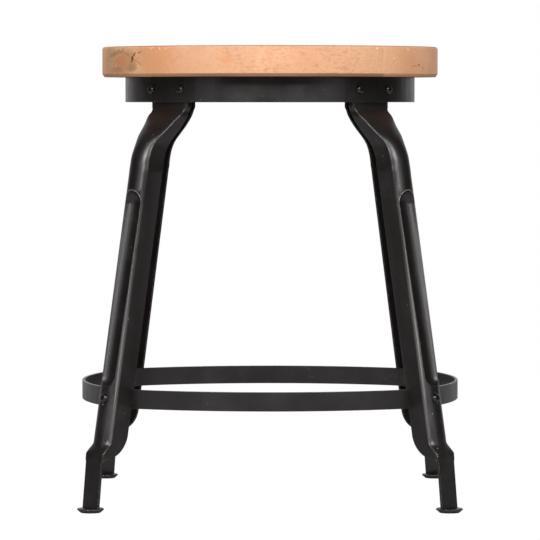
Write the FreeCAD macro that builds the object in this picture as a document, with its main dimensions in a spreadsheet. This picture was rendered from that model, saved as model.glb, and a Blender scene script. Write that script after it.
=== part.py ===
"""Low round stool: a glued wooden seat on a steel band, four pressed channel legs and a foot ring.

Millimetres, +Z up, front towards -Y. The origin is on the floor under the middle of the seat.
"""
import FreeCAD, Part
import math
import os

import Sketcher
from FreeCAD import Placement, Rotation, Vector

doc = FreeCAD.newDocument("stool")

# Driving sizes, one row each: name, value, meaning
SIZES = (
    ("seat_height", 450, "floor to the top of the seat"),
    ("seat_diameter", 336, "wooden disc"),
    ("seat_thickness", 30, "wooden disc"),
    ("seat_top_round", 2.5, "rounding of the upper edge"),
    ("seat_chamfer_rise", 3, "height of the chamfer along the lower edge"),
    ("seat_chamfer_run", 2, "width of the chamfer along the lower edge"),
    ("seat_joint", 110, "middle of the seat to the glue line of the two boards"),
    ("band_diameter", 290, "outside of the band under the seat"),
    ("band_bar", 25, "height of the band's flat bar"),
    ("band_wall", 3, "thickness of the band's flat bar"),
    ("leg_wall", 2, "sheet of the legs"),
    ("leg_lean", 10.35, "lean of the straight channel, degrees from upright"),
    ("leg_spread", 246.8, "reach of the web's line at the floor"),
    ("leg_width", 25.6, "width over the flanges"),
    ("leg_depth", 26.3, "level distance from the web's crest to the flange edges"),
    ("web_arch", 45, "how far the arched web turns to each side, degrees"),
    ("leg_corner", 4, "rounding of web into flange"),
    ("tab_width", 50, "leg tab inside the band"),
    ("tab_gap", 3, "seat down to the leg tab's upper edge"),
    ("neck_drop", 5.4, "band's lower edge down to the fold of the neck"),
    ("neck_lean", 47.7, "lean of the neck, degrees from upright"),
    ("neck_corner", 2.4, "rounding of web into flange at the fold"),
    ("neck_depth", 8, "level depth of the channel at the fold"),
    ("bend_radius", 50, "bend from neck to straight channel"),
    ("bend_run_out", 10, "end of the bend down to the plain channel"),
    ("flute_high", 310, "height of the flute's upper end"),
    ("flute_low", 120.7, "height of the flute's lower end"),
    ("flute_radius", 13, "rounding of the flute's bottom"),
    ("flute_depth_high", 9.8, "web's crest to the flute's bottom, at its upper end"),
    ("flute_depth_low", 5.8, "web's crest to the flute's bottom, at its lower end"),
    ("joggle_top", 66.5, "height where the web steps outwards"),
    ("joggle_rise", 10, "height of the step"),
    ("joggle_step", 3.7, "how far the web steps outwards"),
    ("flange_taper", 10, "lean of the flange edges below the foot ring, degrees from upright"),
    ("flange_taper_gap", 1, "foot ring down to the start of that taper"),
    ("flange_end", 51.5, "height of the flanges' lower end"),
    ("flange_round", 28, "rounding of the flanges' lower corner"),
    ("tongue_width", 21.6, "tongue that carries the foot"),
    ("tongue_lean", 5.9, "lean of the tongue, degrees from upright"),
    ("tongue_arch", 3, "how far the tongue's face turns to each side, degrees"),
    ("tongue_corner", 2, "rounding of web into flange below the joggle"),
    ("tongue_fillet", 3.5, "rounding between tongue and flange end"),
    ("foot_diameter", 26, "steel foot"),
    ("foot_thickness", 4.2, "steel foot"),
    ("foot_sole", 19, "diameter of the foot on the floor"),
    ("foot_bevel", 2.9, "height of the foot's sloped rim"),
    ("foot_crown", 0.6, "height of the foot's upper bevel"),
    ("ring_height", 108, "middle of the foot ring's bar"),
    ("ring_bar", 18.5, "height of the foot ring's flat bar"),
    ("ring_wall", 3, "thickness of the foot ring's flat bar"),
    ("ring_side_radius", 272, "outside of the bowed sides"),
    ("ring_corner_radius", 80, "outside of the corners"),
    ("ring_seat", 0.3, "depth of the flange notch at the ring's lower edge"),
    ("rivet_pitch", 40.5, "two rivets of a leg tab, along the band's outside"),
    ("rivet_head", 9.2, "diameter of the dome heads"),
    ("rivet_dome", 3.2, "height of the dome heads"),
    ("rivet_round", 3, "rounding of the dome heads"),
    ("rivet_shank", 5.5, "diameter of the shanks"),
    ("rivet_tail", 8.4, "diameter of the formed ends"),
    ("rivet_tail_rise", 1.8, "height of the formed ends"),
    ("foot_rivet_height", 109.5, "foot ring rivet's head on the web"),
    ("rivet_spot", 0.6, "depth of the flat pressed into the web under that head"),
    ("rivet_spot_diameter", 10.6, "width of that flat"),
    ("tube_diameter", 9, "distance tube in the channel"),
    ("tube_slack", 0.5, "distance tube's bore over the shank"),
    ("bracket_width", 22, "seat bracket, along the band"),
    ("bracket_drop", 18, "seat bracket's upright"),
    ("bracket_arm", 26, "seat bracket's level arm"),
    ("bracket_wall", 3, "seat bracket's flat bar"),
    ("bracket_bend", 2, "inner rounding of the seat bracket's bend"),
    ("screw_inset", 15, "band's inside to the seat screw"),
    ("screw_diameter", 4.5, "seat screw"),
    ("screw_length", 22, "seat screw under its head"),
    ("screw_head", 8.6, "diameter of the seat screw's head"),
    ("screw_head_rise", 2.8, "height of the seat screw's head"),
    ("screw_head_round", 2.2, "rounding of the seat screw's head"),
    ("screw_point", 5, "length of the seat screw's point"),
)

# Sizes that follow from the driving ones, one formula each
PLACES = (
    ("seat_radius", "=sizes.seat_diameter / 2"),
    ("seat_underside", "=sizes.seat_height - sizes.seat_thickness"),
    ("seat_bevel_radius", "=seat_radius - sizes.seat_chamfer_run"),
    ("seat_bevel_top", "=seat_underside + sizes.seat_chamfer_rise"),
    ("wide_board", "=seat_radius + sizes.seat_joint"),
    ("narrow_board", "=seat_radius - sizes.seat_joint"),
    ("band_outer", "=sizes.band_diameter / 2"),
    ("band_inner", "=band_outer - sizes.band_wall"),
    ("band_bottom", "=seat_underside - sizes.band_bar"),
    ("band_middle", "=seat_underside - sizes.band_bar / 2"),
    ("rivet_angle", "=sizes.rivet_pitch / band_outer * 90 / pi"),
    ("tab_inner", "=band_inner - sizes.leg_wall"),
    ("tab_top", "=seat_underside - sizes.tab_gap"),
    ("tab_half_width", "=sizes.tab_width / 2"),
    ("tab_chord", "=tab_half_width - sizes.neck_corner"),
    ("tab_arch", "=asin(tab_chord / (band_inner - sizes.neck_corner)) / 1 deg"),
    ("tab_trim", "=sqrt(pow(tab_inner; 2) - pow(tab_chord; 2)) - sizes.leg_wall / 2"),
    ("fold_height", "=band_bottom - sizes.neck_drop"),
    ("lean_slope", "=tan(sizes.leg_lean)"),
    ("neck_slope", "=tan(sizes.neck_lean)"),
    ("tongue_slope", "=tan(sizes.tongue_lean)"),
    ("fold_line", "=band_inner + neck_slope * fold_height"),
    ("bend_height", "=(fold_line - sizes.leg_spread) / (neck_slope - lean_slope)"),
    ("joggle_bottom", "=sizes.joggle_top - sizes.joggle_rise"),
    ("leg_half_width", "=sizes.leg_width / 2"),
    ("tongue_half_width", "=sizes.tongue_width / 2"),
    ("tongue_reach", "=sizes.leg_spread - lean_slope * joggle_bottom + sizes.joggle_step"),
    ("tongue_run", "=tongue_slope * (joggle_bottom - sizes.foot_thickness)"),
    ("foot_reach", "=tongue_reach + tongue_run - sizes.leg_wall / 2"),
    ("foot_radius", "=sizes.foot_diameter / 2"),
    ("foot_sole_radius", "=sizes.foot_sole / 2"),
    ("foot_shoulder", "=sizes.foot_thickness - sizes.foot_crown"),
    ("foot_top_radius", "=foot_radius - sizes.foot_crown"),
    ("ring_bottom", "=sizes.ring_height - sizes.ring_bar / 2"),
    ("taper_top", "=ring_bottom - sizes.flange_taper_gap"),
    ("flange_reach", "=sizes.leg_spread - lean_slope * ring_bottom - sizes.leg_depth"),
    ("ring_chord", "=sqrt(pow(sizes.ring_corner_radius; 2) - pow(leg_half_width; 2))"),
    ("ring_reach", "=flange_reach + sizes.ring_seat + sizes.ring_corner_radius - ring_chord"),
    ("ring_corner", "=(ring_reach - sizes.ring_corner_radius) / sqrt(2)"),
    ("ring_swing", "=sizes.ring_side_radius - sizes.ring_corner_radius"),
    ("ring_side", "=sqrt(pow(ring_swing; 2) - pow(ring_corner; 2)) - ring_corner"),
    ("ring_inner_side_radius", "=sizes.ring_side_radius - sizes.ring_wall"),
    ("ring_inner_corner_radius", "=sizes.ring_corner_radius - sizes.ring_wall"),
    ("web_at_rivet", "=sizes.leg_spread - lean_slope * sizes.foot_rivet_height"),
    ("rivet_radius", "=sizes.rivet_shank / 2"),
    ("head_radius", "=sizes.rivet_head / 2"),
    ("tail_radius", "=sizes.rivet_tail / 2"),
    ("band_rivet_foot", "=sqrt(pow(tab_inner; 2) - pow(tail_radius; 2)) - sizes.rivet_tail_rise"),
    ("band_hole_reach", "=band_outer + sizes.rivet_dome"),
    ("band_rivet_neck", "=band_outer - band_rivet_foot"),
    ("band_rivet_top", "=band_rivet_neck + sizes.rivet_dome"),
    ("web_to_ring", "=(web_at_rivet - ring_reach + sizes.ring_wall) / cos(sizes.leg_lean)"),
    ("foot_rivet_depth", "=web_to_ring + sizes.rivet_shank"),
    ("foot_rivet_neck", "=foot_rivet_depth - sizes.rivet_spot"),
    ("foot_rivet_top", "=foot_rivet_neck + sizes.rivet_dome"),
    ("rivet_spot_radius", "=sizes.rivet_spot_diameter / 2"),
    ("tube_radius", "=sizes.tube_diameter / 2"),
    ("web_curve", "=sizes.leg_corner + (leg_half_width - sizes.leg_corner) / sin(sizes.web_arch)"),
    ("web_hollow", "=web_curve - sizes.leg_wall"),
    ("tube_dip", "=(web_hollow - sqrt(pow(web_hollow; 2) - pow(tube_radius; 2))) * cos(sizes.leg_lean)"),
    ("tube_end", "=foot_rivet_depth - sizes.leg_wall - tube_dip"),
    ("tube_bore", "=rivet_radius + sizes.tube_slack / 2"),
    ("bracket_face", "=band_inner - sizes.bracket_wall"),
    ("bracket_tip", "=band_inner - sizes.bracket_arm"),
    ("bracket_under", "=seat_underside - sizes.bracket_wall"),
    ("bracket_foot", "=seat_underside - sizes.bracket_drop"),
    ("bracket_angle", "=sizes.bracket_width / band_inner * 180 / pi"),
    ("screw_reach", "=band_inner - sizes.screw_inset"),
    ("screw_radius", "=sizes.screw_diameter / 2"),
    ("screw_head_radius", "=sizes.screw_head / 2"),
    ("screw_seat", "=bracket_under - sizes.screw_head_rise"),
    ("screw_shank", "=sizes.screw_head_rise + sizes.screw_length - sizes.screw_point"),
    ("screw_whole", "=sizes.screw_head_rise + sizes.screw_length"),
)

UP = Vector(0, 0, 1)
AXIS_CLEAR = 1
PROBE = 0.05
CORNER_LEAST = 0.5
NECK_STEPS = 9
JOGGLE_STEPS = 4
LEGS = (("front_left", 225), ("front_right", 315), ("back_right", 45), ("back_left", 135))
SIDES = (("front", 270), ("right", 0), ("back", 90), ("left", 180))


def make_sheet(name, rows):
    """A spreadsheet with one named cell in each row."""
    sheet = doc.addObject("Spreadsheet::Sheet", name)
    for number, (alias, content) in enumerate(rows, start=1):
        sheet.set(f"A{number}", alias)
        sheet.set(f"B{number}", str(content))
        sheet.setAlias(f"B{number}", alias)
    return sheet


sizes = make_sheet("sizes", [row[:2] for row in SIZES])
places = make_sheet("places", PLACES)
doc.recompute()
DRIVING = {row[0] for row in SIZES}
pieces = []


def cell(alias):
    """The full name of a cell, for an expression."""
    return f"sizes.{alias}" if alias in DRIVING else f"places.{alias}"


def size(alias):
    """The number in a cell."""
    return float((sizes if alias in DRIVING else places).get(alias))


def keep(piece, label):
    """Name a finished piece, so that it is checked and written out."""
    piece.Label = label
    pieces.append(piece)
    return piece


def make_body(name):
    """An empty body."""
    return doc.addObject("PartDesign::Body", name)


def make_sketch(body, name, role):
    """A sketch on one of the body's own origin planes."""
    sketch = body.newObject("Sketcher::SketchObject", name)
    plane = next(item for item in body.Origin.OriginFeatures if item.Role == role)
    sketch.AttachmentSupport = [(plane, "")]
    sketch.MapMode = "FlatFace"
    return sketch


def tie(sketch, kind, line, point, alias):
    """Hold a sketch point at a named distance from the sketch's origin, along X or Y."""
    if alias == "axis":
        axis = -2 if kind == "DistanceX" else -1
        sketch.addConstraint(Sketcher.Constraint("PointOnObject", line, point, axis))
        return
    index = sketch.addConstraint(Sketcher.Constraint(kind, -1, 1, line, point, size(alias)))
    sketch.setExpression(f"Constraints[{index}]", cell(alias))


def draw_outline(sketch, corners):
    """A closed outline of straight lines, each corner given by the names of its two distances."""
    points = [Vector(*(0 if alias == "axis" else size(alias) for alias in corner), 0) for corner in corners]
    count = len(points)
    for number in range(count):
        sketch.addGeometry(Part.LineSegment(points[number], points[(number + 1) % count]))
    for number in range(count):
        sketch.addConstraint(Sketcher.Constraint("Coincident", number, 2, (number + 1) % count, 1))
    for number, (across, up) in enumerate(corners):
        tie(sketch, "DistanceX", number, 1, across)
        tie(sketch, "DistanceY", number, 1, up)


def revolve(body, name, corners, angle=None):
    """Turn an outline in the XZ plane about the body's Z axis, all round or through a named angle."""
    sketch = make_sketch(body, f"{name}_profile", "XZ_Plane")
    draw_outline(sketch, corners)
    feature = body.newObject("PartDesign::Revolution", name)
    feature.Profile = sketch
    feature.ReferenceAxis = (sketch, ["V_Axis"])
    if angle:
        feature.Midplane = True
        feature.setExpression("Angle", cell(angle))
    doc.recompute()
    return feature


def edges_where(feature, test):
    """Names of the feature's edges whose middle point passes the test."""
    names = []
    for number, edge in enumerate(feature.Shape.Edges, start=1):
        middle = edge.valueAt((edge.FirstParameter + edge.LastParameter) / 2)
        if test(middle):
            names.append(f"Edge{number}")
    return names


def round_edges(body, name, base, test, alias):
    """Round the chosen edges with a named radius."""
    fillet = body.newObject("PartDesign::Fillet", name)
    fillet.Base = (base, edges_where(base, test))
    fillet.setExpression("Radius", cell(alias))
    doc.recompute()
    return fillet


def near(first, second):
    """True for two lengths that are the same within a hundredth."""
    return abs(first - second) < 0.01


def on_rim(alias):
    """A test for the points of a turned edge at a named height, away from the axis."""
    height = 0 if alias == "axis" else size(alias)
    return lambda point: near(point.z, height) and math.hypot(point.x, point.y) > AXIS_CLEAR


def turned(angle, shift=Vector(0, 0, 0)):
    """A place turned about the stool's upright axis, after a shift in the piece's own frame."""
    turn = Rotation(UP, angle)
    return Placement(turn.multVec(shift), turn)


def at_bearing(angle, reach, height):
    """The point at a bearing, a distance from the upright axis and a height."""
    return turned(angle).multVec(Vector(reach, 0, height))


def make_pin(name, radius, length, start, direction):
    """A plain cylinder for a hole, its radius and length bound to named sizes."""
    pin = doc.addObject("Part::Cylinder", name)
    pin.setExpression("Radius", cell(radius))
    pin.setExpression("Height", cell(length))
    pin.Placement = Placement(start, Rotation(UP, direction))
    return pin


def copy_of(master, name, place):
    """A finished piece again, at another place."""
    doc.recompute()
    copy = doc.addObject("Part::Feature", name)
    copy.Shape = master.Shape
    copy.Placement = place.multiply(master.Placement)
    return copy


def combine(kind, name, shapes):
    """A boolean of finished objects: MultiFuse, MultiCommon or Cut."""
    result = doc.addObject(f"Part::{kind}", name)
    if kind == "Cut":
        result.Base, result.Tool = shapes
    else:
        result.Shapes = shapes
    doc.recompute()
    return result


def make_solid(name, shape):
    """A free-form solid that the sheet's sizes shape through the functions below."""
    feature = doc.addObject("Part::Feature", name)
    feature.Shape = shape
    return feature


# Seat: one turned disc, drilled for the screws and split along the glue line into two boards

def make_seat():
    disc = make_body("seat_disc")
    turning = revolve(disc, "disc", (
        ("axis", "seat_underside"), ("seat_bevel_radius", "seat_underside"),
        ("seat_radius", "seat_bevel_top"), ("seat_radius", "seat_height"), ("axis", "seat_height")))
    round_edges(disc, "upper_edge", turning, on_rim("seat_height"), "seat_top_round")
    holes = [make_pin(f"screw_hole_{side}", "screw_radius", "screw_length",
                      at_bearing(angle, size("screw_reach"), size("bracket_under")), UP)
             for side, angle in SIDES]
    drilled = combine("Cut", "drilled_disc", (disc, combine("MultiFuse", "screw_holes", holes)))
    radius = size("seat_radius")
    for label, start, length in (("seat_board_wide", -radius, "wide_board"),
                                 ("seat_board_narrow", size("seat_joint"), "narrow_board")):
        block = doc.addObject("Part::Box", f"{label}_block")
        block.setExpression("Length", cell(length))
        block.setExpression("Width", cell("seat_diameter"))
        block.setExpression("Height", cell("seat_thickness"))
        block.Placement.Base = Vector(start, -radius, size("seat_underside"))
        keep(combine("MultiCommon", label, [drilled, block]), label)


# Band: flat bar rolled into a ring, with two rivet holes at each leg

def band_rivet_bearings():
    """Every leg with the bearings of its two rivets."""
    step = size("rivet_angle")
    return [(leg, (angle - step, angle + step)) for leg, angle in LEGS]


def make_band():
    body = make_body("band_body")
    revolve(body, "rolled_bar", (
        ("band_inner", "band_bottom"), ("band_outer", "band_bottom"),
        ("band_outer", "seat_underside"), ("band_inner", "seat_underside")))
    holes = [make_pin(f"band_hole_{leg}_{number}", "rivet_radius", "band_hole_reach",
                      Vector(0, 0, size("band_middle")), at_bearing(bearing, 1, 0))
             for leg, bearings in band_rivet_bearings() for number, bearing in enumerate(bearings)]
    keep(combine("Cut", "band", (body, combine("MultiFuse", "band_holes", holes))), "seat_band")


# Foot ring: a square with bowed sides and wide round corners, bent from flat bar

def make_ring_block(name, side_radius, corner_radius):
    """A full block with the foot ring's plan, out to the face that the two radii belong to."""
    body = make_body(name)
    sketch = make_sketch(body, f"{name}_plan", "XY_Plane")
    radius = size(side_radius)
    offset = size("ring_side")
    corner = (math.sqrt(2 * radius ** 2 - offset ** 2) - offset) / 2
    half = math.asin(corner / radius)
    for number, (side, angle) in enumerate(SIDES):
        bearing = math.radians(angle)
        circle = Part.Circle(at_bearing(angle, -offset, 0), UP, radius)
        sketch.addGeometry(Part.ArcOfCircle(circle, bearing - half, bearing + half))
        index = sketch.addConstraint(Sketcher.Constraint("Radius", number, radius))
        sketch.setExpression(f"Constraints[{index}]", cell(side_radius))
        upright = side in ("front", "back")
        tie(sketch, "DistanceX" if upright else "DistanceY", number, 3, "axis")
        ends = [(-1, 1), (number, 3)] if side in ("front", "left") else [(number, 3), (-1, 1)]
        index = sketch.addConstraint(Sketcher.Constraint(
            "DistanceY" if upright else "DistanceX", *ends[0], *ends[1], offset))
        sketch.setExpression(f"Constraints[{index}]", cell("ring_side"))
    for number in range(len(SIDES)):
        sketch.addConstraint(Sketcher.Constraint("Coincident", number, 2, (number + 1) % len(SIDES), 1))
    pad = body.newObject("PartDesign::Pad", f"{name}_pad")
    pad.Profile = sketch
    pad.setExpression("Length", cell("ring_bar"))
    doc.recompute()
    middle = size("ring_bar") / 2
    round_edges(body, f"{name}_corners", pad, lambda point: near(point.z, middle), corner_radius)
    body.Placement.Base.z = size("ring_bottom")
    doc.recompute()
    return body


def make_ring(block, hollow):
    bar = combine("Cut", "bent_bar", (block, hollow))
    holes = combine("MultiFuse", "ring_holes", [foot_rivet_pin(f"ring_hole_{leg}", angle, "rivet_radius")
                                                for leg, angle in LEGS])
    keep(combine("Cut", "ring", (bar, holes)), "foot_ring")


# Legs: level sections through the sheet, lofted, with the flute pressed into web and hollow alike

def blend(start, end, share):
    """A value between two others."""
    return start + (end - start) * share


def web_reach(height):
    """Distance of the web's crest from the stool's axis: neck, bend, straight channel, step, tongue."""
    lean = math.radians(size("leg_lean"))
    neck = math.radians(size("neck_lean"))
    radius = size("bend_radius")
    run = radius * math.tan((neck - lean) / 2)
    low = size("bend_height") - run * math.cos(lean)
    straight = size("leg_spread") - math.tan(lean) * height
    if height >= size("fold_height"):
        return size("band_inner")
    if height >= size("bend_height") + run * math.cos(neck):
        return size("band_inner") + math.tan(neck) * (size("fold_height") - height)
    if height > low:
        centre = size("leg_spread") - math.tan(lean) * low - radius * math.cos(lean)
        rise = height - low + radius * math.sin(lean)
        return centre + math.sqrt(radius ** 2 - rise ** 2)
    if height >= size("joggle_top"):
        return straight
    if height > size("joggle_bottom"):
        share = (size("joggle_top") - height) / size("joggle_rise")
        return straight + size("joggle_step") * share ** 2 * (3 - 2 * share)
    return size("tongue_reach") + size("tongue_slope") * (size("joggle_bottom") - height)


def bend_bottom():
    """Height where the bend runs out into the straight channel."""
    lean = math.radians(size("leg_lean"))
    turn = math.radians(size("neck_lean")) - lean
    return size("bend_height") - size("bend_radius") * math.tan(turn / 2) * math.cos(lean)


def section_form(height):
    """What shapes a level section: half width, depth, rounding of the corners and arch of the web."""
    opened = (size("fold_height") - height) / (size("fold_height") - size("bend_height"))
    opened = min(max(opened, 0), 1)
    joggled = min(max((size("joggle_top") - height) / size("joggle_rise"), 0), 1)
    half = blend(size("tab_half_width"), size("leg_half_width"), opened)
    depth = blend(size("neck_depth"), size("leg_depth"), opened * (2 - opened))
    if joggled:
        return (half, depth, blend(size("leg_corner"), size("tongue_corner"), joggled),
                blend(size("web_arch"), size("tongue_arch"), joggled))
    return (half, depth, blend(size("neck_corner"), size("leg_corner"), opened),
            blend(size("tab_arch"), size("web_arch"), opened))


def leg_section(height, hollow):
    """A level section of the channel as a closed wire: its outside, or the hollow within the sheet."""
    half, depth, corner, arch = section_form(height)
    arch = math.radians(arch)
    crest = web_reach(height)
    edge = crest - depth
    if hollow:
        slope = (web_reach(height - PROBE) - web_reach(height + PROBE)) / (2 * PROBE)
        crest -= size("leg_wall") * math.hypot(1, slope)
        edge -= size("leg_depth")
        half -= size("leg_wall")
        corner = max(corner - size("leg_wall"), CORNER_LEAST)
    curve = corner + (half - corner) / math.sin(arch)
    shoulder = (crest - curve * (1 - math.cos(arch)), curve * math.sin(arch))
    centre = (shoulder[0] - corner * math.cos(arch), half - corner)
    halfway = (arch + math.pi / 2) / 2
    middle = (centre[0] + corner * math.cos(halfway), centre[1] + corner * math.sin(halfway))
    shoulders, middles, knees, tips = (
        [Vector(reach, side * across, height) for side in (-1, 1)]
        for reach, across in (shoulder, middle, (centre[0], half), (edge, half)))
    return Part.Wire([
        Part.Arc(shoulders[0], Vector(crest, 0, height), shoulders[1]).toShape(),
        Part.Arc(shoulders[1], middles[1], knees[1]).toShape(),
        Part.LineSegment(knees[1], tips[1]).toShape(),
        Part.LineSegment(tips[1], tips[0]).toShape(),
        Part.LineSegment(tips[0], knees[0]).toShape(),
        Part.Arc(knees[0], middles[0], shoulders[0]).toShape()])


def leg_stretch(top, bottom, count, flute=None):
    """The channel between two heights, lofted through evenly spaced sections."""
    heights = [blend(top, bottom, number / count) for number in range(count + 1)]
    outside, hollow = (Part.makeLoft([leg_section(height, inner) for height in heights], True, count == 1)
                       for inner in (False, True))
    if flute:
        outside = outside.cut(flute_shape(0))
        hollow = hollow.cut(flute_shape(size("leg_wall")))
    return outside.cut(hollow)


def flute_shape(extra):
    """The rod with round ends that presses the flute, grown by the sheet where it forms the inside."""
    lean = math.radians(size("leg_lean"))
    outward = Vector(math.cos(lean), 0, math.sin(lean))
    radius = size("flute_radius")
    ends = []
    for end, inwards in (("low", 1), ("high", -1)):
        lift = radius - size(f"flute_depth_{end}")
        height = size(f"flute_{end}") + inwards * math.sqrt(radius ** 2 - lift ** 2) * math.cos(lean)
        ends.append(Vector(web_reach(height), 0, height) + outward * lift)
    foot, top = ends
    rod = Part.makeCylinder(radius + extra, (top - foot).Length, foot, top - foot)
    return rod.fuse([Part.makeSphere(radius + extra, end) for end in ends])


def slab(points, thickness_from, thickness_to, across):
    """A flat tool: an outline pushed along an axis, given as corners and arc middles marked by a tuple."""
    edges = []
    start = points[0]
    for point in points[1:] + points[:1]:
        if isinstance(point, tuple):
            edges.append(Part.Arc(start, *point).toShape())
            start = point[1]
        elif (point - start).Length > PROBE:
            edges.append(Part.LineSegment(start, point).toShape())
            start = point
    face = Part.Face(Part.Wire(edges))
    face.translate(across * thickness_from)
    return face.extrude(across * (thickness_to - thickness_from))


def flange_trim():
    """Rounds off the flanges' lower corners, and ends them above the tongue."""
    taper = math.radians(size("flange_taper"))
    radius = size("flange_round")
    top, bottom = size("taper_top"), size("flange_end")
    start = Vector(web_reach(top) - size("leg_depth"), 0, top)
    corner = Vector(start.x + (top - bottom) * math.tan(taper), 0, bottom)
    run = radius * math.tan((math.pi / 2 - taper) / 2)
    before = corner - Vector(math.sin(taper), 0, -math.cos(taper)) * run
    after = corner + Vector(run, 0, 0)
    centre = after + Vector(0, 0, radius)
    middle = centre + (corner - centre).normalize() * radius
    reach = 2 * size("tongue_corner")
    return slab([start, before, (middle, after), Vector(web_reach(bottom) - reach, 0, bottom),
                 Vector(web_reach(0) - reach, 0, 0), Vector(0, 0, 0), Vector(0, 0, top)],
                -size("leg_width"), size("leg_width"), Vector(0, 1, 0))


def tongue_trim(side):
    """Cuts the web down to the tongue on one side, below the flanges."""
    edge = size("tongue_half_width")
    radius = size("tongue_fillet")
    top = size("flange_end")
    turn = radius * (1 - math.sqrt(0.5))
    outline = [(edge, 0), (edge, top - radius), (edge + turn, top - turn), (edge + radius, top),
               (size("tab_width"), top), (size("tab_width"), 0)]
    points = [Vector(0, side * across, up) for across, up in outline]
    return slab([points[0], points[1], (points[2], points[3]), points[4], points[5]],
                size("flange_reach"), size("foot_reach") + size("foot_diameter"), Vector(1, 0, 0))


def tab_trim():
    """Takes the flanges off the tab, above the band's lower edge."""
    low = Vector(0, -size("tab_width"), size("band_bottom"))
    return Part.makeBox(size("tab_trim"), 2 * size("tab_width"), size("band_bar"), low)


def make_leg_blank():
    """The pressed sheet, before its notches and holes, reaching out along +X."""
    straight_top = bend_bottom() - size("bend_run_out")
    stretches = [
        leg_stretch(size("tab_top"), size("band_bottom"), 1),
        leg_stretch(size("band_bottom"), size("fold_height"), 1),
        leg_stretch(size("fold_height"), straight_top, NECK_STEPS),
        leg_stretch(straight_top, size("joggle_top"), 1, flute=True),
        leg_stretch(size("joggle_top"), size("joggle_bottom"), JOGGLE_STEPS),
        leg_stretch(size("joggle_bottom"), size("foot_thickness"), 1)]
    blank = stretches[0].fuse(stretches[1:]).removeSplitter()
    blank = blank.cut([tab_trim(), flange_trim(), tongue_trim(-1), tongue_trim(1)])
    return make_solid("leg_blank", blank)


def make_legs(ring_block):
    notch = copy_of(ring_block, "notch_block", turned(LEGS[-1][1]))
    holes = [make_pin(f"tab_hole_{number}", "rivet_radius", "band_hole_reach",
                      Vector(0, 0, size("band_middle")), at_bearing(side * size("rivet_angle"), 1, 0))
             for number, side in enumerate((-1, 1))]
    spot = make_pin("rivet_spot_pin", "rivet_spot_radius", "rivet_dome", Vector(0, 0, 0), UP)
    spot.Placement = foot_rivet_place(0, size("rivet_spot"))
    holes += [foot_rivet_pin("web_hole", 0, "rivet_radius"), spot]
    tool = combine("MultiFuse", "leg_cuts", [notch, *holes])
    leg = combine("Cut", "leg", (make_leg_blank(), tool))
    for name, angle in LEGS:
        keep(copy_of(leg, f"leg_{name}_solid", turned(angle)), f"leg_{name}")


# Feet, welded under the tongues

def make_feet():
    body = make_body("foot_master")
    revolve(body, "foot_profile", (
        ("axis", "axis"), ("foot_sole_radius", "axis"), ("foot_radius", "foot_bevel"),
        ("foot_radius", "foot_shoulder"), ("foot_top_radius", "foot_thickness"), ("axis", "foot_thickness")))
    for name, angle in LEGS:
        keep(copy_of(body, f"foot_{name}_solid", turned(angle, Vector(size("foot_reach"), 0, 0))),
             f"foot_{name}")


# Rivets and distance tubes

def make_rivet_master(name, neck, top, tail):
    """A rivet standing on its inner end, its shank along +Z and its dome head on top."""
    body = make_body(name)
    start = (("axis", "axis"), ("tail_radius", "axis"), ("tail_radius", "rivet_tail_rise"),
             ("rivet_radius", "rivet_tail_rise")) if tail else (("axis", "axis"), ("rivet_radius", "axis"))
    turning = revolve(body, f"{name}_turning", (
        *start, ("rivet_radius", neck), ("head_radius", neck), ("head_radius", top), ("axis", top)))
    round_edges(body, f"{name}_dome", turning, on_rim(top), "rivet_round")
    return body


def make_band_rivets():
    master = make_rivet_master("band_rivet", "band_rivet_neck", "band_rivet_top", True)
    foot = Vector(size("band_rivet_foot"), 0, size("band_middle"))
    outwards = Rotation(UP, Vector(1, 0, 0))
    for leg, bearings in band_rivet_bearings():
        pair = [copy_of(master, f"band_rivet_{leg}_{number}",
                        turned(bearing).multiply(Placement(foot, outwards)))
                for number, bearing in enumerate(bearings)]
        group = doc.addObject("Part::Compound", f"band_rivets_{leg}_group")
        group.Links = pair
        keep(group, f"band_rivets_{leg}")


def foot_rivet_place(angle, depth):
    """A place square to a leg's web at the foot ring rivet, a given depth inwards from the web's crest."""
    lean = math.radians(size("leg_lean"))
    outward = Vector(math.cos(lean), 0, math.sin(lean))
    point = Vector(size("web_at_rivet"), 0, size("foot_rivet_height")) - outward * depth
    return turned(angle).multiply(Placement(point, Rotation(UP, outward)))


def foot_rivet_pin(name, angle, radius):
    """A cylinder along a foot ring rivet's shank, through web and ring."""
    pin = doc.addObject("Part::Cylinder", name)
    pin.setExpression("Radius", cell(radius))
    pin.setExpression("Height", cell("foot_rivet_depth") + " + sizes.rivet_dome")
    pin.Placement = foot_rivet_place(angle, size("foot_rivet_depth"))
    return pin


def make_foot_rivets(ring_hollow):
    master = make_rivet_master("foot_rivet", "foot_rivet_neck", "foot_rivet_top", False)
    for name, angle in LEGS:
        place = foot_rivet_place(angle, size("foot_rivet_depth"))
        rivet = copy_of(master, f"foot_rivet_{name}_blank", place)
        keep(combine("Cut", f"foot_rivet_{name}_solid", (rivet, ring_hollow)), f"foot_ring_rivet_{name}")


def make_tubes(ring_block):
    for name, angle in LEGS:
        outside, bore = (foot_rivet_pin(f"tube_{part}_{name}", angle, radius)
                         for part, radius in (("outside", "tube_radius"), ("bore", "tube_bore")))
        outside.setExpression("Height", cell("tube_end"))
        tube = combine("Cut", f"tube_bored_{name}", (outside, bore))
        keep(combine("Cut", f"tube_{name}", (tube, ring_block)), f"distance_tube_{name}")


# Brackets welded inside the band, and the wood screws through them

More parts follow.
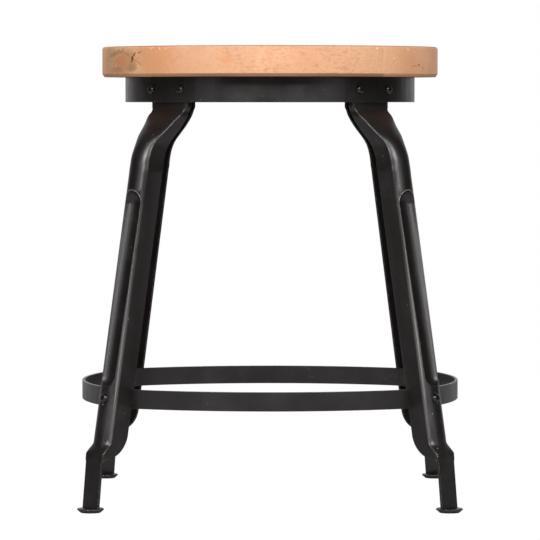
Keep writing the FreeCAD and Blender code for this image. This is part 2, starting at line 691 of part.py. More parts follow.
def make_brackets():
    body = make_body("bracket_master")
    bar = revolve(body, "bracket_bar", (
        ("bracket_face", "bracket_foot"), ("band_inner", "bracket_foot"), ("band_inner", "seat_underside"),
        ("bracket_tip", "seat_underside"), ("bracket_tip", "bracket_under"),
        ("bracket_face", "bracket_under")), "bracket_angle")
    round_edges(body, "bracket_inner_bend", bar,
                lambda point: near(point.z, size("bracket_under"))
                and near(math.hypot(point.x, point.y), size("bracket_face")), "bracket_bend")
    hole = make_pin("bracket_hole", "screw_radius", "bracket_wall",
                    Vector(size("screw_reach"), 0, size("bracket_under")), UP)
    bracket = combine("Cut", "bracket", (body, hole))
    for name, angle in SIDES:
        keep(copy_of(bracket, f"bracket_{name}", turned(angle)), f"seat_bracket_{name}")


def make_screws():
    body = make_body("screw_master")
    turning = revolve(body, "screw_turning", (
        ("axis", "axis"), ("screw_head_radius", "axis"), ("screw_head_radius", "screw_head_rise"),
        ("screw_radius", "screw_head_rise"), ("screw_radius", "screw_shank"), ("axis", "screw_whole")))
    round_edges(body, "screw_dome", turning, on_rim("axis"), "screw_head_round")
    foot = Vector(size("screw_reach"), 0, size("screw_seat"))
    group = doc.addObject("Part::Compound", "screw_group")
    group.Links = [copy_of(body, f"screw_{name}", turned(angle, foot)) for name, angle in SIDES]
    keep(group, "seat_screws")


def check_and_export():
    """Stop on any failed object or bad solid, then write one file for each piece."""
    doc.recompute()
    failed = [item.Name for item in doc.Objects if {"Invalid", "Error"} & set(item.State)]
    bad = [piece.Label for piece in pieces if piece.Shape.isNull() or not piece.Shape.isValid()
           or not piece.Shape.Solids]
    if failed or bad:
        raise RuntimeError(f"failed objects: {failed}; bad solids: {bad}")
    os.makedirs("parts", exist_ok=True)
    for piece in pieces:
        piece.Shape.exportStep(f"parts/{piece.Label}.step")
        print(f"{piece.Label}: {len(piece.Shape.Solids)} solid(s), {piece.Shape.Volume / 1000:.2f} cm3")


make_seat()
make_band()
outer_block = make_ring_block("ring_block", "ring_side_radius", "ring_corner_radius")
inner_block = make_ring_block("ring_hollow", "ring_inner_side_radius", "ring_inner_corner_radius")
make_ring(outer_block, inner_block)
make_legs(outer_block)
make_feet()
make_band_rivets()
make_foot_rivets(inner_block)
make_tubes(outer_block)
make_brackets()
make_screws()
check_and_export()
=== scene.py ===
"""A low round stool: a glued wood seat on a steel band, four pressed channel legs and a foot ring.

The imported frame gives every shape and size. This script welds the triangles of each solid, eases its
edges, gives it its finish, and sets the studio. Metres, +Z up, the front towards -Y, and the patterns lie
in the frame's own coordinates.
"""

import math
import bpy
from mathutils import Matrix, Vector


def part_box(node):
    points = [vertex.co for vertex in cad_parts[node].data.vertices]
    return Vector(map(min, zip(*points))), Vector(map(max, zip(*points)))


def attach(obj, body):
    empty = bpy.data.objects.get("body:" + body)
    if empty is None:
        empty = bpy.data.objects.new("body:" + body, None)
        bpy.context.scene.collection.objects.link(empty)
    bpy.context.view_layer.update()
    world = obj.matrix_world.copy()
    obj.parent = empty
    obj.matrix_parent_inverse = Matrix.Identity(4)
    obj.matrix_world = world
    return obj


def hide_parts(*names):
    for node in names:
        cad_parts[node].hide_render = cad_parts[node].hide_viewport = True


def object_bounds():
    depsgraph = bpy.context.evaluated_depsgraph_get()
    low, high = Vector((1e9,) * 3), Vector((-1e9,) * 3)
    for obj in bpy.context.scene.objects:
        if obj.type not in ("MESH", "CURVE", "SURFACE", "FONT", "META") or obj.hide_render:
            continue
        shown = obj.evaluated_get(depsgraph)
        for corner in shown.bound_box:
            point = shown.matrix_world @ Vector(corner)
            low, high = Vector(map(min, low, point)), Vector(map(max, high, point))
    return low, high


bl_info = {
    "name": "Round Workshop Stool",
    "version": (1, 0, 0),
    "blender": (4, 5, 0),
    "location": "View3D > Sidebar > Stool",
    "description": "Dresses a packed round stool in glued wood and black coated steel, and lights it",
    "category": "Add Mesh",
}

import bmesh
import bpy
from bpy.props import FloatProperty, FloatVectorProperty, PointerProperty
from mathutils import Vector

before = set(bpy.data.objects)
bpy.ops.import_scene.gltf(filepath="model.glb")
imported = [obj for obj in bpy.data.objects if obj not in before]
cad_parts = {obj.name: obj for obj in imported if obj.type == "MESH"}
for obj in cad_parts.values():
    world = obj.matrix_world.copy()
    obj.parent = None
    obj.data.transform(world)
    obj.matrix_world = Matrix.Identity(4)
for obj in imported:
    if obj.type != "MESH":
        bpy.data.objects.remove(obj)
CAD_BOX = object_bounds()
BODY = "root"
MM = 0.001
# Corners nearer than this are one corner
WELD = 0.002 * MM
# A fold sharper than this is an edge: it stays crisp, and it is eased
SHARP = math.radians(32)
EASING_SEGMENTS = 2
LEGS = ("front_left", "front_right", "back_right", "back_left")
SIDES = ("front", "right", "back", "left")
SEAT_LOW, SEAT_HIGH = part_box("seat_board_wide")
SEAT_RADIUS = -SEAT_LOW.x
GLUE_LINE = SEAT_HIGH.x


def linear(code):
    """The linear colour of an sRGB hex code."""
    parts = (int(code[start:start + 2], 16) / 255 for start in (1, 3, 5))
    return tuple(part / 12.92 if part <= 0.04045 else ((part + 0.055) / 1.055) ** 2.4 for part in parts)


def colour_setting(name, description, code):
    """A colour that the user can change, its default given as an sRGB hex code."""
    return FloatVectorProperty(name=name, description=description, subtype="COLOR", size=3, min=0, max=1,
                               default=linear(code))


def length_setting(name, description, default):
    """A length in metres that the user can change."""
    return FloatProperty(name=name, description=description, default=default, min=0, unit="LENGTH")


class SeatSettings(bpy.types.PropertyGroup):
    """Sizes and colours of the glued wood seat."""
    wood: colour_setting("Wood", "Heart of the boards, between the growth rings", "#ECB58C")
    late_wood: colour_setting("Late wood", "Darker end of each growth ring, and the streaks", "#D9996E")
    patch: colour_setting("Patches", "Redder blotches in the boards", "#E7A57B")
    pore: colour_setting("Pores", "Open pores and short flecks", "#BE7C54")
    # Painted shade along the lower edge of the seat, and a darker line along its top edge
    dark_edge_and_shade: colour_setting("Edge line and painted shade", "Painted shade along the lower edge, darker line along the top edge", "#8A6148")
    ring_spacing: length_setting("Ring spacing", "Width of one growth ring", 3.4 * MM)
    roughness: FloatProperty(name="Roughness", description="Dull sheen of the worn lacquer", default=0.62,
                             min=0, max=1)
    edge_round: length_setting("Edge rounding", "Sanded rounding of the seat's edges", 0.5 * MM)


class PaintSettings(bpy.types.PropertyGroup):
    """Colours and finish of the coated steel."""
    coat: colour_setting("Coat", "Satin black powder coat", "#191413")
    # Painted highlight as well as rubbed coat: the lighter grey along the edges
    rub_and_highlight: colour_setting("Rubbed edge and painted highlight", "Coat rubbed grey and painted highlight along the edges", "#6C6663")
    # Also the painted glint round the top end of each flute
    chip_and_glint: colour_setting("Chip and glint", "Bare steel and primer in the chips, and the painted glint on the flute rims", "#A8A19C")
    roughness: FloatProperty(name="Roughness", description="Satin of the coat", default=0.33, min=0, max=1)
    grain: length_setting("Orange peel", "Width of one ripple of the coat", 1.2 * MM)
    edge_round: length_setting("Edge rounding", "Rounding that the coat gives to cut edges", 0.35 * MM)


class StageSettings(bpy.types.PropertyGroup):
    """Camera, lamps and backdrop."""
    camera_distance: length_setting("Camera distance", "Stool's axis to the lens", 3.922)
    camera_height: length_setting("Camera height", "Floor to the lens", 0.399)
    camera_tilt: FloatProperty(name="Camera tilt", description="Downward tilt of the lens",
                               default=math.radians(2.52), subtype="ANGLE")
    focal_length: FloatProperty(name="Focal length", description="Lens on a 36 mm sensor", default=260.3,
                                subtype="DISTANCE_CAMERA")
    ambient: FloatProperty(name="Ambient", description="Light from the whole room", default=0.44, min=0)
    backdrop: FloatProperty(name="Backdrop", description="White wall behind, as gloss shows it",
                            default=0.7, min=0)
    room: FloatProperty(name="Room", description="Darker room in front, as gloss shows it",
                        default=0.03, min=0)


def add(tree, kind, links=None, values=None, **settings):
    """Add a node with its settings, its socket values and its links, and return it."""
    node = tree.nodes.new(kind)
    for name, value in settings.items():
        setattr(node, name, value)
    for socket, value in (values or {}).items():
        node.inputs[socket].default_value = value
    for socket, output in (links or {}).items():
        tree.links.new(output, node.inputs[socket])
    return node


def new_material(name):
    """An empty node material, with its shader and its object coordinates."""
    material = bpy.data.materials.new(name)
    material.use_nodes = True
    tree = material.node_tree
    tree.nodes.clear()
    shader = add(tree, "ShaderNodeBsdfPrincipled")
    add(tree, "ShaderNodeOutputMaterial", {"Surface": shader.outputs["BSDF"]})
    place = add(tree, "ShaderNodeTexCoord").outputs["Object"]
    return material, tree, shader, place


def noise_patterns(tree, place, table):
    """The noises of a finish by name, from a table of cell sizes in mm, detail, roughness and distortion."""
    patterns = {}
    for name, (sizes, detail, roughness, distortion) in table.items():
        cell = add(tree, "ShaderNodeMapping", {"Vector": place}, {"Scale": Vector(sizes) * MM},
                   vector_type="TEXTURE")
        noise = add(tree, "ShaderNodeTexNoise", {"Vector": cell.outputs[0]},
                    {"Scale": 1, "Detail": detail, "Roughness": roughness, "Distortion": distortion},
                    label=name)
        patterns[name] = noise.outputs["Fac"]
    return patterns


def mask(tree, strength, *steps):
    """A mask made of steps, each a value that rises smoothly from one level to another, multiplied."""
    total = None
    for value, low, high in steps:
        full = strength if total is None else 1
        step = add(tree, "ShaderNodeMapRange", {"Value": value},
                   {"From Min": low, "From Max": high, "To Max": full},
                   interpolation_type="SMOOTHSTEP").outputs["Result"]
        if total is not None:
            step = add(tree, "ShaderNodeMath", {0: total, 1: step}, operation="MULTIPLY").outputs[0]
        total = step
    return total


# A Mix node's sockets share their names, so they are given by number: in 2 and 3 and out 0 for plain
# numbers, in 6 and 7 and out 2 for colours
def layered(tree, base, layers):
    """One colour over another: each layer is a mask and a colour, and the first lies deepest."""
    under = None
    for cover, colour in layers:
        mix = add(tree, "ShaderNodeMix", {"Factor": cover}, {7: (*colour, 1)}, data_type="RGBA")
        if under is None:
            mix.inputs[6].default_value = (*base, 1)
        else:
            tree.links.new(under, mix.inputs[6])
        under = mix.outputs[2]
    return under


# Levels that most of a noise lies between
NOISE_SPREAD = {"From Min": 0.3, "From Max": 0.7}

# Noises in the wood: size of one cell across the seat, along the grain and upwards in mm, detail,
# roughness and distortion. Real pores are near 0.2 mm wide, so these are drawn coarser, to show at all
WOOD_PATTERNS = {
    "wander": ((45.45, 45.45, 45.45), 3, 0.5, 0),
    "pores": ((1.6129, 9.677, 1.6129), 2, 0.55, 0),
    "flecks": ((4.699, 59.52, 1.7857), 3, 0.5, 0.8),
    "mottle": ((3.0303, 101.01, 3.0303), 4, 0.65, 0),
    "bands": ((16.667, 555.6, 16.667), 2, 0.5, 0),
    "blotches": ((62.5, 62.5, 62.5), 2, 0.5, 0),
    "ragged": ((2.381, 2.381, 2.381), 4, 0.5, 0),
}
# Middle of the growth rings on the end of each board, in mm, and how unevenly the rings run
PITHS = ((-134, 0, 434), (146, 0, 432))
RING_WANDER = {"Distortion": 5, "Detail": 3, "Detail Scale": 1.4, "Detail Roughness": 0.6}
# A Wave node of scale 1 has one ring in this length
WAVE_LENGTH = math.pi / 10
# Where the flecks fade in, from the left and from the right of the seat
FLECKED = ((-70 * MM, -35 * MM), (118 * MM, 80 * MM))
# Darker lines along the seat's edges, the low one painted shade under the rim: the heights between which
# each fades in, above the seat's underside and below its top, and how far in from the rim the top one
# reaches
LOW_LINE = (3.4 * MM, 2.6 * MM)
TOP_LINE = (1.4 * MM, 0.4 * MM)
TOP_LINE_REACH = (3 * MM, 1.5 * MM)
# The painted shade of the low line is stronger on the wide board: it grows over this stretch from the left,
# and fades away over this width at the glue line
LOW_LINE_LEFT = (-125 * MM, -50 * MM)
GLUE_WIDTH = 0.5 * MM
# How far a noise pushes the outline of a mark in and out, as a share of its half width
RAGGED = 0.25
PORE_DEPTH = 0.15 * MM
PORE_BUMP = 0.25

# Marks on the seat's front edge, each an ellipse on the wood: name, place in mm from the middle and from
# the floor, half length and half width in mm, turn in degrees, softness, strength and colour
WOOD_MARKS = (
    ("left_warm", -112, 434, 50, 40, 0, 0.9, 0.75, "#E09A66"),
    ("right_warm", 135, 434, 50, 40, 0, 0.9, 0.45, "#E39D6C"),
    ("left_end", -158, 435, 14, 26, 0, 0.5, 0.45, "#B3845F"),
    ("pith_stain", -143, 434, 24, 15, 8, 0.35, 0.6, "#BC8050"),
    ("heart", -146, 435, 11, 9, 0, 0.8, 0.6, "#D98A5C"),
    ("grey_knot", -135.5, 429, 7.5, 5, 0, 0.7, 0.75, "#B0875F"),
    ("low_stain", -151, 426.5, 9, 4, 0, 0.5, 0.5, "#A87A50"),
    ("top_stain", -152, 443, 13, 3.5, 20, 0.6, 0.55, "#96704F"),
    ("pith_crack", -134.6, 437.5, 4.4, 1.2, 80, 0.5, 0.95, "#6E3D1C"),
    ("pith_crack_top", -132.6, 441.5, 2.6, 1.1, 60, 0.5, 0.8, "#714423"),
    ("check_down", -129.5, 434, 6.5, 0.35, -36, 0.6, 0.7, "#A9663C"),
    ("check_low", -127, 433, 7.5, 0.3, -40, 0.6, 0.55, "#B27348"),
    ("check_up", -139.8, 442, 3.6, 0.45, -40, 0.6, 0.75, "#7F5232"),
    ("dark_fleck", -127.5, 443.5, 3.6, 0.9, 25, 0.7, 0.75, "#8A5C38"),
    ("red_ellipse", -43.5, 436, 10.5, 3.8, -6, 0.7, 0.75, "#EE9F6C"),
    ("red_low", 92, 425.5, 8, 1.6, 4, 0.8, 0.5, "#EE9B70"),
    ("right_star", 146.3, 431.8, 1.3, 1.0, 80, 0.5, 0.95, "#6B3316"),
    ("star_left", 141, 430.6, 5.4, 0.35, 8, 0.6, 0.8, "#8F5230"),
    ("star_right", 149.5, 429.2, 4.4, 0.3, -40, 0.6, 0.7, "#9C6340"),
    ("star_up", 148.6, 434.2, 2.6, 0.3, 40, 0.7, 0.6, "#A56C48"),
    ("right_end", 160, 436, 9, 26, 0, 0.6, 0.12, "#C0976F"),
    ("chip_a", -115, 447.6, 2.0, 0.8, 30, 0.6, 0.85, "#FBDDBD"),
    ("chip_b", -107, 447.3, 1.5, 1.2, 70, 0.6, 0.8, "#FBDDBD"),
    ("chip_c", -101, 447.0, 1.2, 0.9, 60, 0.6, 0.8, "#F6D2AE"),
    ("chip_d", 104, 447.2, 1.6, 1.0, 20, 0.6, 0.85, "#FBDDBD"),
    ("chip_e", 135, 446.6, 2.2, 1.1, -20, 0.6, 0.8, "#F8D8B6"),
    ("chip_f", 121, 438, 1.1, 1.6, 10, 0.6, 0.75, "#F7D3AE"),
    ("chip_g", 124, 439, 0.6, 1.0, 10, 0.6, 0.7, "#F7D3AE"),
)
# How far a mark runs into the wood, in mm
MARK_DEPTH = 26


def mark_layer(tree, place, ragged, mark):
    """The mask and colour of one mark: an ellipse that also runs a little way along the grain."""
    name, across, height, half_length, half_width, turn, softness, strength, code = mark
    front = -math.sqrt(max((SEAT_RADIUS / MM) ** 2 - across ** 2, 0))
    spot = add(tree, "ShaderNodeMapping", {"Vector": place},
               {"Location": Vector((across, front, height)) * MM, "Rotation": (0, -math.radians(turn), 0),
                "Scale": Vector((half_length, MARK_DEPTH, half_width)) * MM},
               vector_type="TEXTURE", label=name)
    reach = add(tree, "ShaderNodeVectorMath", {0: spot.outputs[0]}, operation="LENGTH").outputs["Value"]
    rough = add(tree, "ShaderNodeMath", {0: reach, 1: ragged}, operation="ADD").outputs[0]
    return mask(tree, strength, (rough, 1, 1 - softness)), linear(code)


def growth_rings(tree, settings, place, across):
    """The rings on the ends of the boards, each board with its own pith."""
    rings = []
    for pith in PITHS:
        centred = add(tree, "ShaderNodeMapping", {"Vector": place}, {"Location": Vector(pith) * MM},
                      vector_type="TEXTURE")
        wave = add(tree, "ShaderNodeTexWave", {"Vector": centred.outputs[0]},
                   {"Scale": WAVE_LENGTH / settings.ring_spacing, **RING_WANDER},
                   wave_type="RINGS", rings_direction="Y")
        rings.append(wave.outputs["Fac"])
    beyond_glue = add(tree, "ShaderNodeMath", {0: across}, {1: GLUE_LINE}, operation="GREATER_THAN")
    return add(tree, "ShaderNodeMix", {"Factor": beyond_glue.outputs[0], 2: rings[0], 3: rings[1]},
               data_type="FLOAT").outputs[0]


def edge_lines_and_shade(tree, settings, axes):
    """Painted shade along the seat's lower edge, stronger on the wide board, and a darker line along its top
    edge.
    """
    across, height = axes["X"], axes["Z"]
    level = add(tree, "ShaderNodeCombineXYZ", {"X": across, "Y": axes["Y"]}).outputs[0]
    radius = add(tree, "ShaderNodeVectorMath", {0: level}, operation="LENGTH").outputs["Value"]
    low_line = (height, *(SEAT_LOW.z + above for above in LOW_LINE))
    wide_board = ((across, *LOW_LINE_LEFT), (across, GLUE_LINE + GLUE_WIDTH, GLUE_LINE))
    top_line = ((height, *(SEAT_HIGH.z - below for below in TOP_LINE)),
                (radius, *(SEAT_RADIUS - inwards for inwards in TOP_LINE_REACH)))
    # Painted shade along the lower edge, more on the wide board, then the darker line along the top
    return [(mask(tree, 0.35, low_line), settings.dark_edge_and_shade),
            (mask(tree, 0.6, low_line, *wide_board), settings.dark_edge_and_shade),
            (mask(tree, 0.6, *top_line), settings.dark_edge_and_shade)]


def wood_material(settings):
    """Clear-lacquered glued hardwood, sawn and sanded: pinkish tan, with fine flecks on its sawn ends,
    stains and checks round the pith, and a dull sheen."""
    material, tree, shader, place = new_material("Lacquered glued hardwood")
    axes = add(tree, "ShaderNodeSeparateXYZ", {0: place}).outputs
    patterns = noise_patterns(tree, place, WOOD_PATTERNS)
    ring = growth_rings(tree, settings, place, axes["X"])
    ragged = add(tree, "ShaderNodeMapRange", {"Value": patterns["ragged"]},
                 {**NOISE_SPREAD, "To Min": -RAGGED, "To Max": RAGGED}).outputs[0]
    flecked = [(axes["X"], *fade) for fade in FLECKED]
    # Each mask: its strength, then its patterns with the levels where they start and where they are full
    layers = [
        (mask(tree, 0.7, (patterns["blotches"], 0.45, 0.75)), settings.patch),
        (mask(tree, 0.05, (ring, 0.6, 1)), settings.late_wood),
        (mask(tree, 0.32, (patterns["mottle"], 0.4, 0.7)), settings.late_wood),
        (mask(tree, 0.3, (patterns["bands"], 0.5, 0.75)), settings.late_wood),
        (mask(tree, 0.42, (patterns["flecks"], 0.5, 0.68), (patterns["wander"], 0.28, 0.5), *flecked),
         settings.pore),
        (mask(tree, 0.45, (patterns["pores"], 0.62, 0.78)), settings.pore)]
    layers += [mark_layer(tree, place, ragged, mark) for mark in WOOD_MARKS]
    layers += edge_lines_and_shade(tree, settings, axes)
    height = add(tree, "ShaderNodeMath", {0: patterns["pores"], 1: patterns["flecks"]}, operation="ADD")
    bump = add(tree, "ShaderNodeBump", {"Height": height.outputs[0]},
               {"Strength": PORE_BUMP, "Distance": PORE_DEPTH})
    tree.links.new(layered(tree, settings.wood, layers), shader.inputs["Base Color"])
    tree.links.new(bump.outputs[0], shader.inputs["Normal"])
    shader.inputs["Roughness"].default_value = settings.roughness
    return material


# Noises in the coat and on the zinc, in the same form as the wood's. Real chips and scratches are finer,
# and are drawn coarser to show at all
COAT_PATTERNS = {
    "dust": ((35.714, 35.714, 35.714), 4, 0.6, 0),
    "specks": ((2.0833, 2.0833, 2.0833), 1, 0.5, 0),
}
ZINC_PATTERNS = {"scratches": ((1.1111, 1.1111, 1.1111), 3, 0.5, 0)}
ZINC_ROUGHNESS = {"To Min": 0.28, "To Max": 0.5}
# A plain coat has 1.5: this thick satin one mirrors more of the lamps
COAT_IOR = 1.75
RIPPLE_DEPTH = 0.05 * MM
RIPPLE_BUMP = 0.2
# Cosine between a face and its rounded edge, where the lighter edge line of rubbed coat and painted
# highlight starts and where it is full, how wide that rounding is beside the eased edge, and how many rays
# find it
EDGE_BEND = (0.995, 0.95)
EDGE_SHARE = 2
EDGE_SAMPLES = 6
# How much glossier and duller than its setting the coat gets in places
GLOSSIER = 0.05
DULLER = 0.09
# Strength of the lighter edges, partly rubbed coat and partly painted highlight, on the sheet, the feet and
# the rivets, and of the painted glint round the top ends of the flutes
SHEET_EDGE_WEAR_AND_HIGHLIGHT = 0.55
FOOT_WEAR = 0.9
RIVET_WEAR = 0.5
RIM_GLINT = 0.85
# Rivet heads are this much glossier than the sheet
RIVET_POLISH = 0.12

# The top end of the flute pressed into each leg: middle of its half circle above the floor, its radius,
# how far out from the stool's middle the leg's outer face stands there, and half the width of its painted
# glint
FLUTE_END_HEIGHT = 299.4 * MM
FLUTE_END_RADIUS = 10.7 * MM
FLUTE_END_REACH = 188 * MM
RIM_WIDTH = 0.7 * MM


def painted_rim_glint(tree, place):
    """Steps of a mask for the painted highlight round the top end of the flute, on all four legs: its rim's
    glint.
    """
    one_leg = add(tree, "ShaderNodeVectorMath", {0: place}, operation="ABSOLUTE").outputs[0]
    corner = FLUTE_END_REACH / math.sqrt(2)
    from_end = add(tree, "ShaderNodeMapping", {"Vector": one_leg},
                   {"Location": (corner, corner, FLUTE_END_HEIGHT), "Rotation": (0, 0, math.radians(45))},
                   vector_type="TEXTURE").outputs[0]
    on_web = add(tree, "ShaderNodeVectorMath", {0: from_end}, {1: (0, 1, 1)}, operation="MULTIPLY")
    reach = add(tree, "ShaderNodeVectorMath", {0: on_web.outputs[0]}, operation="LENGTH").outputs["Value"]
    axes = add(tree, "ShaderNodeSeparateXYZ", {0: from_end}).outputs
    outwards, upwards = axes["X"], axes["Z"]
    return ((reach, FLUTE_END_RADIUS - RIM_WIDTH, FLUTE_END_RADIUS),
            (reach, FLUTE_END_RADIUS + RIM_WIDTH, FLUTE_END_RADIUS),
            (upwards, -1 * MM, 2 * MM),
            (outwards, -0.5 * MM, 0))


def coat_material(settings, name, edge_wear_and_highlight, polish=0.0, fluted=False):
    """Powder-coated steel, sprayed and baked: satin black with a fine ripple, edges lighter grey from rubbed
    coat and painted highlight, a few chips, and when fluted a painted glint round the top end of each flute."""
    material, tree, shader, place = new_material(name)
    patterns = noise_patterns(tree, place, COAT_PATTERNS)
    dust, specks = patterns["dust"], patterns["specks"]
    ripple = add(tree, "ShaderNodeTexNoise", {"Vector": place}, {"Scale": 1 / settings.grain, "Detail": 2})
    rounded = add(tree, "ShaderNodeBevel", values={"Radius": settings.edge_round * EDGE_SHARE},
                  samples=EDGE_SAMPLES)
    flat = add(tree, "ShaderNodeNewGeometry")
    bend = add(tree, "ShaderNodeVectorMath", {0: rounded.outputs[0], 1: flat.outputs["Normal"]},
               operation="DOT_PRODUCT").outputs["Value"]
    # The eased edges are painted lighter: partly rubbed coat, partly painted highlight
    layers = [
        (mask(tree, 0.06, (dust, 0.48, 0.8)), settings.rub_and_highlight),
        (mask(tree, edge_wear_and_highlight, (bend, *EDGE_BEND), (specks, 0.36, 0.6)), settings.rub_and_highlight),
        (mask(tree, edge_wear_and_highlight, (bend, *EDGE_BEND), (specks, 0.6, 0.68)), settings.chip_and_glint),
        (mask(tree, 1, (specks, 0.76, 0.79), (dust, 0.5, 0.62)), settings.chip_and_glint)]
    # Painted highlight: a light line round the top end of each flute, the glint on its rolled rim
    if fluted:
        layers.append((mask(tree, RIM_GLINT, (specks, 0.3, 0.5), *painted_rim_glint(tree, place)), settings.chip_and_glint))
    satin = settings.roughness - polish
    roughness = add(tree, "ShaderNodeMapRange", {"Value": dust},
                    {**NOISE_SPREAD, "To Min": satin - GLOSSIER, "To Max": satin + DULLER})
    bump = add(tree, "ShaderNodeBump", {"Height": ripple.outputs["Fac"], "Normal": rounded.outputs[0]},
               {"Strength": RIPPLE_BUMP, "Distance": RIPPLE_DEPTH})
    shader.inputs["IOR"].default_value = COAT_IOR
    tree.links.new(layered(tree, settings.coat, layers), shader.inputs["Base Color"])
    tree.links.new(roughness.outputs[0], shader.inputs["Roughness"])
    tree.links.new(bump.outputs[0], shader.inputs["Normal"])
    return material


def zinc_material():
    """Bright zinc-plated steel, turned and cold-headed: pale, a little blue, with fine dull scratches."""
    material, tree, shader, place = new_material("Zinc-plated steel")
    scratches = noise_patterns(tree, place, ZINC_PATTERNS)["scratches"]
    roughness = add(tree, "ShaderNodeMapRange", {"Value": scratches}, ZINC_ROUGHNESS)
    tree.links.new(roughness.outputs[0], shader.inputs["Roughness"])
    shader.inputs["Base Color"].default_value = (*linear("#BFC1C4"), 1)
    shader.inputs["Metallic"].default_value = 1
    return material


def dressed(name, nodes, material, edge_round=0.0):
    """A piece that stands for CAD nodes: their triangles welded, shaded smooth and its cut edges eased."""
    work = bmesh.new()
    for node in nodes:
        work.from_mesh(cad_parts[node].data)
    bmesh.ops.remove_doubles(work, verts=work.verts, dist=WELD)
    bmesh.ops.dissolve_degenerate(work, edges=work.edges, dist=WELD)
    mesh = bpy.data.meshes.new(name)
    work.to_mesh(mesh)
    work.free()
    mesh.materials.append(material)
    mesh.shade_smooth()
    mesh.set_sharp_from_angle(angle=SHARP)
    piece = bpy.data.objects.new(name, mesh)
    bpy.context.scene.collection.objects.link(piece)
    if edge_round:
        easing = piece.modifiers.new("eased_edges", "BEVEL")
        easing.width = edge_round
        easing.segments = EASING_SEGMENTS
        easing.limit_method = "ANGLE"
        easing.angle_limit = SHARP
        easing.harden_normals = True
    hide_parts(*nodes)
    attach(piece, BODY)


class STOOL_OT_seat(bpy.types.Operator):
    """Two glued boards turned to a disc"""
    bl_idname = "stool.seat"
    bl_label = "Seat"

    def execute(self, context):
        settings = context.scene.stool_seat
        wood = wood_material(settings)
        for board in ("seat_board_wide", "seat_board_narrow"):
            dressed(f"{board}_wood", (board,), wood, settings.edge_round)
        return {"FINISHED"}


class STOOL_OT_steel(bpy.types.Operator):
    """Coated band, foot ring, legs, feet and brackets"""
    bl_idname = "stool.steel"
    bl_label = "Coated steel"

    def execute(self, context):
        settings = context.scene.stool_paint
        coat = coat_material(settings, "Satin black powder coat", SHEET_EDGE_WEAR_AND_HIGHLIGHT)
        # The pressed legs also carry the painted glint round the top ends of their flutes
        pressed = coat_material(settings, "Satin black powder coat on pressed sheet", SHEET_EDGE_WEAR_AND_HIGHLIGHT,
                                fluted=True)
        # The feet are dragged over the floor, so nearly all of their edges are rubbed
        worn = coat_material(settings, "Worn satin black powder coat", FOOT_WEAR)
        for node in ("seat_band", "foot_ring", *(f"seat_bracket_{side}" for side in SIDES)):
            dressed(f"{node}_steel", (node,), coat, settings.edge_round)
        for leg in LEGS:
            dressed(f"leg_{leg}_steel", (f"leg_{leg}",), pressed, settings.edge_round)
            dressed(f"foot_{leg}_steel", (f"foot_{leg}",), worn, settings.edge_round)
        return {"FINISHED"}


class STOOL_OT_fixings(bpy.types.Operator):
    """Dome-head rivets, distance tubes and wood screws"""
    bl_idname = "stool.fixings"
    bl_label = "Fixings"

    def execute(self, context):
        settings = context.scene.stool_paint
        coat = coat_material(settings, "Black coated rivet", RIVET_WEAR, polish=RIVET_POLISH)
        zinc = zinc_material()
        for leg in LEGS:
            for node in (f"band_rivets_{leg}", f"foot_ring_rivet_{leg}"):
                dressed(f"{node}_steel", (node,), coat)
            dressed(f"distance_tube_{leg}_steel", (f"distance_tube_{leg}",), zinc)
        dressed("seat_screws_steel", ("seat_screws",), zinc)
        return {"FINISHED"}


def add_softbox(name, size, power, place, target):
    """A rectangular lamp at a place, turned to a target."""
    lamp = bpy.data.lights.new(name, "AREA")
    lamp.shape = "RECTANGLE"
    lamp.size, lamp.size_y = size
    lamp.energy = power
    box = bpy.data.objects.new(name, lamp)
    box.location = place
    box.rotation_euler = (Vector(target) - Vector(place)).to_track_quat("-Z", "Y").to_euler()
    bpy.context.scene.collection.objects.link(box)


# Lamps: name, width and height, power in watts, place
SOFTBOXES = (
    ("left_softbox", (0.75, 1.2), 33, (-1.0, -2.3, 1.7)),
    ("right_softbox", (0.75, 1.2), 33, (1.0, -2.3, 1.7)),
    ("left_wall_panel", (0.5, 0.9), 1.6, (-1.95, -1.7, 0.8)),
    ("right_wall_panel", (0.5, 0.9), 1.6, (1.95, -1.7, 0.8)),
    ("back_softbox", (1.6, 1.2), 9, (0.0, 2.2, 1.8)),
)
FLOOR_WIDTH = 3.2
FLOOR_GREY = "#A8A8A8"
# The floor lies this far under the feet
FLOOR_GAP = 0.2 * MM
# Share of the lit floor, with its shadow, in what the camera sees, and the glow of the rest, which brings
# the sum back to white
SHADOW_SHARE = 0.15
FLOOR_GLOW = 1.14
# How far back a glossy ray has to point to start to see the white wall, and to see it in full
WALL_RAMP = {"From Min": 0.5, "From Max": 1.0}


def build_floor():
    """A white floor that looks white to the camera and still keeps the stool's soft shadow."""
    work = bmesh.new()
    bmesh.ops.create_grid(work, x_segments=1, y_segments=1, size=FLOOR_WIDTH / 2)
    bmesh.ops.translate(work, verts=work.verts, vec=(0, 0, CAD_BOX[0][2] - FLOOR_GAP))
    mesh = bpy.data.meshes.new("studio_floor")
    work.to_mesh(mesh)
    work.free()
    material = bpy.data.materials.new("White studio floor")
    material.use_nodes = True
    tree = material.node_tree
    tree.nodes.clear()
    rays = add(tree, "ShaderNodeLightPath").outputs["Is Camera Ray"]
    lit = add(tree, "ShaderNodeBsdfDiffuse", values={"Color": (*linear(FLOOR_GREY), 1)})
    white = add(tree, "ShaderNodeEmission", values={"Strength": FLOOR_GLOW})
    share = add(tree, "ShaderNodeMath", {0: rays}, {1: 1 - SHADOW_SHARE}, operation="MULTIPLY")
    surface = add(tree, "ShaderNodeMixShader",
                  {0: share.outputs[0], 1: lit.outputs[0], 2: white.outputs[0]})
    add(tree, "ShaderNodeOutputMaterial", {"Surface": surface.outputs[0]})
    mesh.materials.append(material)
    floor = bpy.data.objects.new("studio_floor", mesh)
    bpy.context.scene.collection.objects.link(floor)


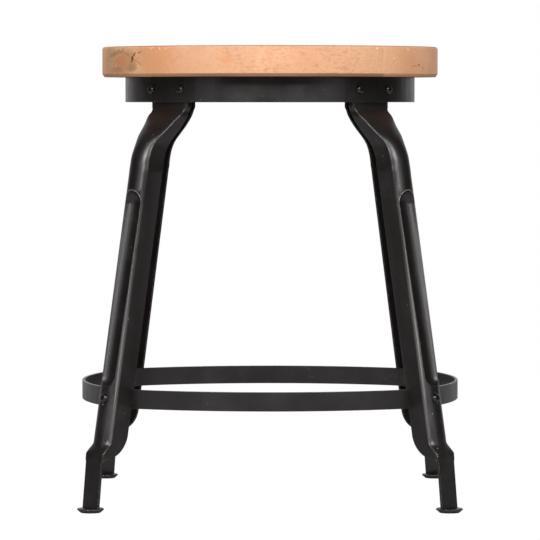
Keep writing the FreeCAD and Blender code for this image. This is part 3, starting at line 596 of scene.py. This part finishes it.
def build_room(settings):
    """A white room for the camera, an even light for the wood, and a darker front for the gloss."""
    world = bpy.data.worlds.new("studio_room")
    bpy.context.scene.world = world
    world.use_nodes = True
    tree = world.node_tree
    tree.nodes.clear()
    path = add(tree, "ShaderNodeLightPath").outputs
    way = add(tree, "ShaderNodeTexCoord").outputs["Generated"]
    depth = add(tree, "ShaderNodeSeparateXYZ", {0: way}).outputs["Y"]
    behind = add(tree, "ShaderNodeMapRange", {"Value": depth},
                 {**WALL_RAMP, "To Min": settings.room, "To Max": settings.backdrop},
                 interpolation_type="SMOOTHSTEP")
    shiny = add(tree, "ShaderNodeMath", {0: path["Is Glossy Ray"], 1: path["Is Transmission Ray"]},
                operation="MAXIMUM")
    glow = add(tree, "ShaderNodeMix", {"Factor": shiny.outputs[0], 3: behind.outputs[0]},
               {2: settings.ambient}, data_type="FLOAT")
    level = add(tree, "ShaderNodeMix", {"Factor": path["Is Camera Ray"], 2: glow.outputs[0]}, {3: 1.0},
                data_type="FLOAT")
    background = add(tree, "ShaderNodeBackground", {"Strength": level.outputs[0]}, {"Color": (1, 1, 1, 1)})
    add(tree, "ShaderNodeOutputWorld", {"Surface": background.outputs[0]})


def build_camera(settings):
    """The photograph's view: a long lens level with the underside of the seat."""
    lens = bpy.data.cameras.new("stool_camera")
    lens.lens = settings.focal_length
    camera = bpy.data.objects.new("stool_camera", lens)
    camera.location = (0, -settings.camera_distance, settings.camera_height)
    camera.rotation_euler = (math.pi / 2 - settings.camera_tilt, 0, 0)
    bpy.context.scene.collection.objects.link(camera)
    bpy.context.scene.camera = camera


class STOOL_OT_stage(bpy.types.Operator):
    """White floor and room, soft lamps and the camera"""
    bl_idname = "stool.stage"
    bl_label = "Stage"

    def execute(self, context):
        settings = context.scene.stool_stage
        build_floor()
        build_room(settings)
        middle = (0, 0, CAD_BOX[1][2] / 2)
        for name, size, power, place in SOFTBOXES:
            add_softbox(name, size, power, place, middle)
        build_camera(settings)
        context.scene.view_settings.view_transform = "Standard"
        return {"FINISHED"}


class STOOL_PT_panel(bpy.types.Panel):
    """Steps that dress the stool"""
    bl_idname = "STOOL_PT_panel"
    bl_label = "Stool"
    bl_space_type = "VIEW_3D"
    bl_region_type = "UI"
    bl_category = "Stool"

    def draw(self, context):
        for operator in OPERATORS:
            self.layout.operator(operator.bl_idname)


OPERATORS = (STOOL_OT_seat, STOOL_OT_steel, STOOL_OT_fixings, STOOL_OT_stage)
SETTINGS = (("stool_seat", SeatSettings), ("stool_paint", PaintSettings), ("stool_stage", StageSettings))


def register():
    for name, group in SETTINGS:
        bpy.utils.register_class(group)
        setattr(bpy.types.Scene, name, PointerProperty(type=group))
    for panel_class in (*OPERATORS, STOOL_PT_panel):
        bpy.utils.register_class(panel_class)


def unregister():
    for panel_class in (STOOL_PT_panel, *reversed(OPERATORS)):
        bpy.utils.unregister_class(panel_class)
    for name, group in reversed(SETTINGS):
        delattr(bpy.types.Scene, name)
        bpy.utils.unregister_class(group)


def main():
    register()
    bpy.ops.stool.seat()
    bpy.ops.stool.steel()
    bpy.ops.stool.fixings()
    bpy.ops.stool.stage()


if __name__ == "__main__":
    main()
